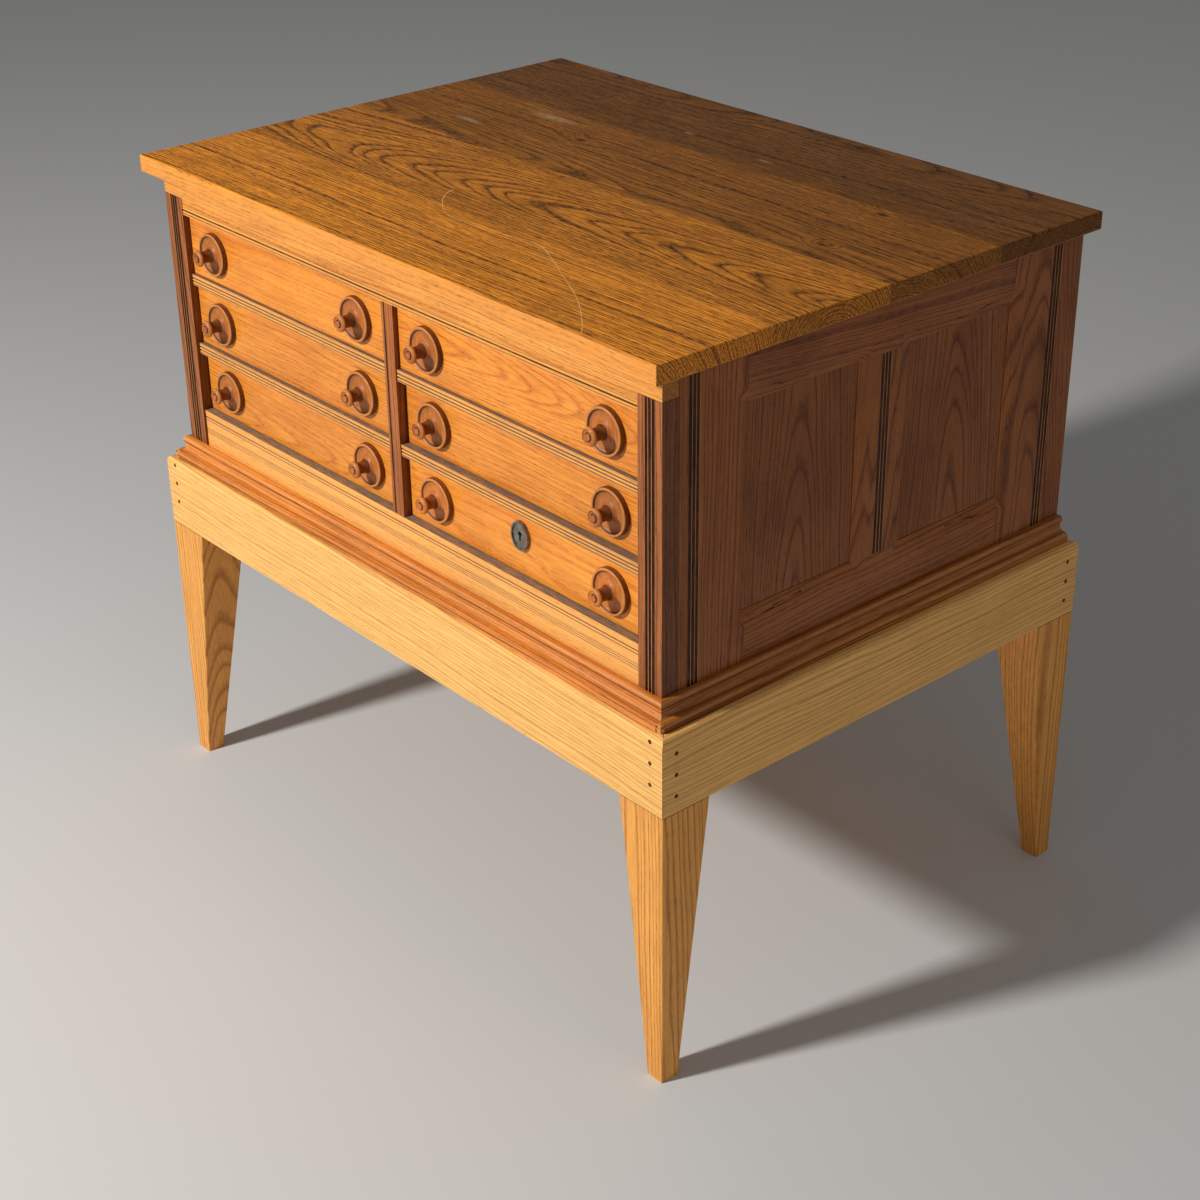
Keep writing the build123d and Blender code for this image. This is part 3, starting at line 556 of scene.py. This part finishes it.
def front_board(node, seed, depth_mm=0.0, dusty=False, all_over=0.0, finish=case_oak, **look):
    """A board of the front frame, whose beads or flutes are that deep."""
    soil_and_shade = hollows(1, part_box(node)[0][1], depth_mm, dusty, all_over)
    board(node, "case", finish, "old_oak_case", seed, soil_and_shade=soil_and_shade, **look)


front_board("fascia", 111, all_over=0.15, tone=1.06, figure=0.7, heart_mm=60, aside_mm=80, lean=0.0)
front_board("top_rail", 112, TOP_BEAD_DEPTH, ease_mm=0.3, tone=0.94, figure=0.7, heart_mm=50, aside_mm=60,
            lean=0.0)
front_board("bottom_rail", 113, BEAD_DEPTH, dusty=True, all_over=0.7, ease_mm=0.3, tone=1.2, figure=0.5,
            heart_mm=70, aside_mm=60, lean=0.01)
front_board("centre_stile", 114, GROOVE_DEPTH, finish=stile_oak, ease_mm=0.3, grain="z", tone=1.05)
front_board("front_stile_left", 115, FLUTE_DEPTH, finish=stile_oak, ease_mm=0.5, grain="z", tone=0.8)
front_board("front_stile_right", 117, FLUTE_DEPTH, finish=stile_oak, ease_mm=0.5, grain="z", tone=0.95)
for number, column in enumerate(("left", "right")):
    front_board(f"divider_rails_{column}", 119 + 5 * number, BEAD_DEPTH, dusty=True, ease_mm=0.3,
                figure=0.6)


# Base moulding
# One run profile of bead, neck, cove, ovolo and plinth, in redder oak, mitred round the front corners.
# The undersides of its members are painted dark as shade, their upper slopes are painted paler, as lit and
# rubbed, and knocks have chipped both front corners.

# In mm: how far along each side a chip goes, how deep it is, where it is cut into facets, how high it stays
# deep, and how far inside the corner lies the spot that its facets are pushed towards
CHIP_REACH = 8.0
CHIP_DEPTH = 4.5
CHIP_FACETS = (1.5, 3.0, 5.0, CHIP_REACH)
DEEP_CHIP_HEIGHT = 16.0
CHIP_HEART = 20.0
moulding_low, moulding_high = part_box("base_moulding_front")

# Shellac over redder oak gives a red brown, and its dirt and painted shade are red brown too
moulding_oak = oak("red_moulding_oak", "#e28a38", "#b55c22", "#5f260e", "#f5b270", ring_mm=3.6,
                   pore_strength=0.5, streaks=(0.74, 1.2), roughness=0.36, stain="#8e3f18",
                   stain_amount=0.5, dirt_and_shade="#3a160a")


def moulded(face, low, high):
    """Marks for the moulding: pale broken wood in the chips, painted shade on the undersides, and upper
    slopes painted paler, as lit and rubbed.
    """
    centre = face.calc_center_median()
    from_corner = max(abs(abs(centre.x) - moulding_high[0]), abs(centre.y - moulding_low[1])) / MM
    if from_corner < 0.8 * CHIP_REACH and abs(face.normal.z) < 0.8:
        return SoilAndShade(wear=0.75)
    flat_run = abs(face.normal.x) + abs(face.normal.y)
    # Painted shade: faces that look down are darkened, the steeper the darker
    if face.normal.z < -0.12 and flat_run > 0.1:
        return SoilAndShade(grime=min(0.2 - 1.8 * face.normal.z, 0.95))
    # Painted light: faces that slope upwards are made paler, as lit, along with some rubbing
    if 0.25 < face.normal.z < 0.85:
        return SoilAndShade(wear=0.3)
    return SoilAndShade()


def chipped(work):
    """Breaks both front corners away: cuts them into facets and pushes those in, deepest low down."""
    for corner_x, inward in ((moulding_low[0], 1), (moulding_high[0], -1)):
        for step in CHIP_FACETS:
            for spot, across in (((corner_x + inward * step * MM, 0, 0), (1, 0, 0)),
                                 ((0, moulding_low[1] + step * MM, 0), (0, 1, 0))):
                bmesh.ops.bisect_plane(work, geom=work.verts[:] + work.edges[:] + work.faces[:],
                                       plane_co=spot, plane_no=across, dist=1e-6)
        heart = Vector((corner_x + inward * CHIP_HEART * MM, moulding_low[1] + CHIP_HEART * MM, 0))
        for vertex in work.verts:
            off_x = abs(vertex.co.x - corner_x) / MM
            off_y = (vertex.co.y - moulding_low[1]) / MM
            near = 1 - math.hypot(off_x, off_y) / (CHIP_REACH + 4)
            if near <= 0 or off_x >= CHIP_REACH or off_y >= CHIP_REACH:
                continue
            height = (vertex.co.z - moulding_low[2]) / MM
            share = 1.0 if height < DEEP_CHIP_HEIGHT else 0.4
            bite = share * (0.7 + 0.3 * math.sin(1.9 * height + 0.7))
            towards = Vector((heart.x - vertex.co.x, heart.y - vertex.co.y, 0)).normalized()
            vertex.co += towards * (CHIP_DEPTH * MM * near * bite)


for number, side in enumerate(("front", "left", "right")):
    board(f"base_moulding_{side}", "case", moulding_oak, "old_oak_case", seed=131 + number, ease_mm=0.3,
          tone=1.0 if side == "front" else 0.7, heart_mm=40, aside_mm=50, lean=0.0, soil_and_shade=moulded,
          reshape=chipped)


# Drawers
# Fronts of plain-sawn oak under worn shellac; boxes of thin bare wood, dovetailed to the fronts.
# The bottoms are thin boards, let into grooves with their grain across the drawer.

# The shellac is brightest here: clear orange over faint rings, with a soft gloss
front_oak = oak("shellacked_front_oak", "#ed9434", "#d37420", "#7c3a0e", "#f8c07a", ring_mm=3.4,
                pore_strength=0.45, streaks=(0.78, 1.16), roughness=0.36, coat=0.12, stain="#b85c1a",
                stain_amount=0.55)
drawer_looks = {
    ("left", "upper"): {"heart_mm": 50, "aside_mm": 100, "lean": 0.0, "tone": 1.02, "figure": 0.75},
    ("left", "middle"): {"heart_mm": 90, "aside_mm": -60, "lean": -0.03, "tone": 0.95, "figure": 0.6},
    ("left", "lower"): {"heart_mm": 50, "aside_mm": 20, "lean": 0.06, "tone": 1.0, "figure": 0.6},
    ("right", "upper"): {"heart_mm": 34, "aside_mm": -8, "lean": 0.09, "tone": 1.0, "figure": 0.9},
    ("right", "middle"): {"heart_mm": 80, "aside_mm": 70, "lean": 0.02, "tone": 0.97, "figure": 0.7},
    ("right", "lower"): {"heart_mm": 120, "aside_mm": 30, "lean": 0.01, "tone": 1.05, "figure": 0.5},
}
keyhole_low, keyhole_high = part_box("escutcheon")


def keyhole_shade(face, low, high):
    """Painted shade: dark walls in the keyhole behind the escutcheon."""
    centre = face.calc_center_median()
    beside = keyhole_low[0] < centre.x < keyhole_high[0] and keyhole_low[2] < centre.z < keyhole_high[2]
    return SoilAndShade(grime=1.0 if beside and abs(face.normal.y) < 0.5 else 0.0)


for number, ((column, row), look) in enumerate(drawer_looks.items()):
    drawer = f"drawer_{column}_{row}"
    board(f"{drawer}_front", drawer, front_oak, "old_oak_fronts", seed=151 + number, ease_mm=0.6,
          soil_and_shade=keyhole_shade if drawer == "drawer_right_lower" else None, **look)
    board(f"{drawer}_box", drawer, inner_oak, "inner_wood", seed=161 + 3 * number, ease_mm=0.4, tone=0.95)
    board(f"{drawer}_bottom", drawer, inner_oak, "inner_wood", seed=191 + number, ease_mm=0.0, grain="x")


# Knobs
# Each is turned in one piece with a wide dished rosette behind, and a dowel holds it in the front.
# Dirt has stayed in the turned grooves, and hands have rubbed the rims and the ends.
# The neck and the side of the rosette are painted dark as shade, and the bowl is painted paler as lit.

# Distances in mm: how far out of the drawer front the parts of a knob start, and how far from its axis
KNOB_LENGTH = 24.0
HEAD_START = 19.5
COLLAR_START = 9.5
NECK_START = 7.2
RIM_START = 4.0
BOWL_START = 1.0
END_GROOVE = (3.0, 4.5)
HEAD_RIM = 7.6
NECK_REACH = 11.0
BOWL_REACH = 19.4
RIM_REACH = 21.2
ROSETTE_SIDE = 22.5

# Stain and polish make the knobs a red brown, duller than the fronts
knob_oak = oak("stained_turned_oak", "#bd6a28", "#8f4717", "#401a08", "#dc9850", ring_mm=2.4,
               pore_strength=0.25, roughness=0.46, coat=0.05, stain="#5f2a0e", stain_amount=0.5)


def turned(face, low, high):
    """Marks for a knob: dark grooves, painted shade on the neck and the side of the rosette, rubbed rims
    and a bowl painted paler as lit.
    """
    centre = face.calc_center_median()
    out = KNOB_LENGTH - (centre.y - low.y) / MM
    aside = math.hypot(centre.x - (low.x + high.x) / 2, centre.z - (low.z + high.z) / 2) / MM
    if out > HEAD_START:
        if END_GROOVE[0] < aside < END_GROOVE[1]:
            return SoilAndShade(grime=1.0)
        return SoilAndShade(wear=0.7 if aside > HEAD_RIM and face.normal.y < -0.2 else 0.0)
    # Painted shade darkens the neck
    if out > NECK_START and aside < NECK_REACH:
        return SoilAndShade(grime=0.6 if out > COLLAR_START else 0.8)
    # Painted shade on the side of the rosette
    if aside > ROSETTE_SIDE and abs(face.normal.y) < 0.5:
        return SoilAndShade(grime=0.7)
    # Painted light: the bowl is made a little paler, as lit
    if out > BOWL_START and NECK_REACH < aside < BOWL_REACH:
        return SoilAndShade(wear=0.15)
    if out > RIM_START and BOWL_REACH < aside < RIM_REACH:
        return SoilAndShade(grime=0.75)
    if out > RIM_START and aside >= RIM_REACH:
        return SoilAndShade(wear=0.6)
    return SoilAndShade()


for number, (column, row) in enumerate(drawer_looks):
    drawer = f"drawer_{column}_{row}"
    board(f"{drawer}_knobs", drawer, knob_oak, "turned_knobs", seed=211 + 5 * number, ease_mm=0.0,
          grain="z", heart_mm=40, aside_mm=0, tone=1.12 if (column, row) == ("right", "lower") else 0.95,
          tone_spread=0.1, figure=0.4, soil_and_shade=turned)


# Lock
# A cast oval escutcheon lies on the lower right front, over a brass lock case let into the back of it.
# The steel bolt slides up from there into the rail above.

# Soft patches of tarnish, 5 to 8 mm across, leave the brass grey with a dull shine
brass = old_metal("tarnished_brass", 150.0, [(0.3, "#6b665d"), (0.75, "#989082")], 0.8, 0.45)
finish_fittings(("escutcheon", "lock_case"), brass)
finish_fittings(("lock_bolt",), steel)


# Top
# Four oak boards glued edge to edge, golden brown under old wax and darker towards the back, partly in
# their own tone and partly as painted fall-off of the light.
# The front edge is rubbed down to light wood, and the wax carries scuffs and one long scratch.

# Old wax is matt here, so the strong dark pores and streaks show more than any gloss
top_oak = oak("waxed_top_oak", "#ee9224", "#7c410c", "#261103", "#eb9a48", ring_mm=2.9,
              pore_strength=1.0, pore_share=0.465, streaks=(0.5, 1.55), roughness=0.5, coat=0.0,
              stain="#6b3e10", stain_amount=0.35,
              knots=((-126, 85, 761, 6), (276, 134, 761, 7), (298, 25, 761, 4)),
              scuffs=((-276, 46, 761, 60, 12), (-63, 190, 761, 22, 6), (69, 176, 761, 30, 6),
                      (-215, 120, 761, 90, 20)))
# Board tones from front to back; they fall this steeply partly as painted fall-off of the light
top_looks = (
    {"tone": 1.0, "figure": 0.7, "heart_mm": 40, "aside_mm": 110, "lean": 0.0},
    {"tone": 0.77, "figure": 0.8, "heart_mm": 60, "aside_mm": 6, "lean": -0.06},
    {"tone": 0.44, "figure": 0.55, "heart_mm": 70, "aside_mm": 70, "lean": 0.02},
    {"tone": 0.27, "figure": 0.45, "heart_mm": 60, "aside_mm": -60, "lean": 0.03},
)
top_low, top_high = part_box("top_boards")


def front_rubbed(face, low, high):
    """Wear on the front edge of the front board."""
    at_front = low.y < top_low[1] + 10 * MM
    return SoilAndShade(wear=0.95 if face.normal.y < -0.9 and at_front else 0.0)


board("top_boards", "case", top_oak, "old_oak_top", seed=231, ease_mm=0.7, tight=True, grain="x",
      tone_spread=0.0, looks=top_looks, soil_and_shade=front_rubbed)

# The scratch is a bent line 0.4 to 1 mm wide, through points given in mm
SCRATCH = ((-82, -126), (-76, -140), (-58, -159), (-22, -180.5), (24, -182.5), (70, -178), (111.5, -173),
           (150, -189), (185, -207.5), (247, -241), (293, -274), (318, -296))
SCRATCH_HALF_WIDTH = (0.2, 0.5)
STEPS_BETWEEN = 6
LIFT = 0.03


def plain(name, colour, roughness):
    """A material of one colour."""
    material, tree = new_material(name)
    shader = add(tree, "ShaderNodeBsdfPrincipled", {"Base Color": linear(colour), "Roughness": roughness})
    add(tree, "ShaderNodeOutputMaterial", (shader,))
    return material


def shown(name, points, faces, material):
    """A new object of that mesh, with its material."""
    mesh = bpy.data.meshes.new(name)
    mesh.from_pydata(points, [], faces)
    mesh.materials.append(material)
    return placed(name, mesh)


def smooth_line(marks, steps):
    """A curve through all the marks, as that many points between each two of them."""
    ends = (marks[0],) + tuple(marks) + (marks[-1],)
    line = []
    for before, start, end, after in zip(ends, ends[1:], ends[2:], ends[3:]):
        for step in range(steps):
            t = step / steps
            line.append(tuple(
                0.5 * (2 * b + (c - a) * t + (2 * a - 5 * b + 4 * c - d) * t * t
                       + (3 * b - a - 3 * c + d) * t ** 3)
                for a, b, c, d in zip(before, start, end, after)))
    return line + [marks[-1]]


chance = random.Random(5)
scratch_level = top_high[2] + LIFT * MM
scratch_line = [Vector(spot) for spot in smooth_line(SCRATCH, STEPS_BETWEEN)]
strip = []
for here, ahead in zip(scratch_line, scratch_line[1:] + scratch_line[-1:]):
    run = (ahead - here) if ahead != here else run
    aside = Vector((-run.y, run.x)).normalized() * chance.uniform(*SCRATCH_HALF_WIDTH)
    strip += [tuple(spot * MM) + (scratch_level,) for spot in (here + aside, here - aside)]
quads = [(i, i + 1, i + 3, i + 2) for i in range(0, len(strip) - 2, 2)]

# Where the wax has come off, the wood is pale and matt
scratch = shown("scratch", strip, quads, plain("scratched_wax", "#f2bd74", 0.6))
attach(scratch, "case")


# Floor and light
# A plain pale floor and plain studio light, strongest from the upper left front as in the photograph.
# The key lamp is small, so the knobs throw clear shadows, and the fill keeps the right side readable.
FLOOR_HALF = 30.0
CHEST_MIDDLE = (0.0, 0.0, 0.5)

floor_corners = [(x * FLOOR_HALF, y * FLOOR_HALF, 0) for x, y in ((-1, -1), (1, -1), (1, 1), (-1, 1))]
# A warm, matt, light grey
floor = shown("floor", floor_corners, [(0, 1, 2, 3)], plain("pale_floor", "#d9d7d3", 0.9))


def softbox(name, place, size, power):
    """A round lamp of that width in metres, aimed at the middle of the chest."""
    lamp = bpy.data.lights.new(name, "AREA")
    lamp.shape = "DISK"
    lamp.size = size
    lamp.energy = power
    holder = placed(name, lamp)
    holder.location = place
    holder.rotation_euler = (Vector(CHEST_MIDDLE) - Vector(place)).to_track_quat("-Z", "Y").to_euler()


softbox("key_light", (-0.65, -3.0, 2.37), size=0.36, power=115.0)
softbox("fill_light", (3.2, -0.6, 2.2), size=2.4, power=6.5)

world = bpy.data.worlds.new("studio")
bpy.context.scene.world = world
world.use_nodes = True
world.node_tree.nodes.clear()
sky = add(world.node_tree, "ShaderNodeBackground", {"Color": linear("#e9ebee"), "Strength": 0.19})
add(world.node_tree, "ShaderNodeOutputWorld", (sky,))

bpy.context.scene.view_settings.view_transform = "Standard"
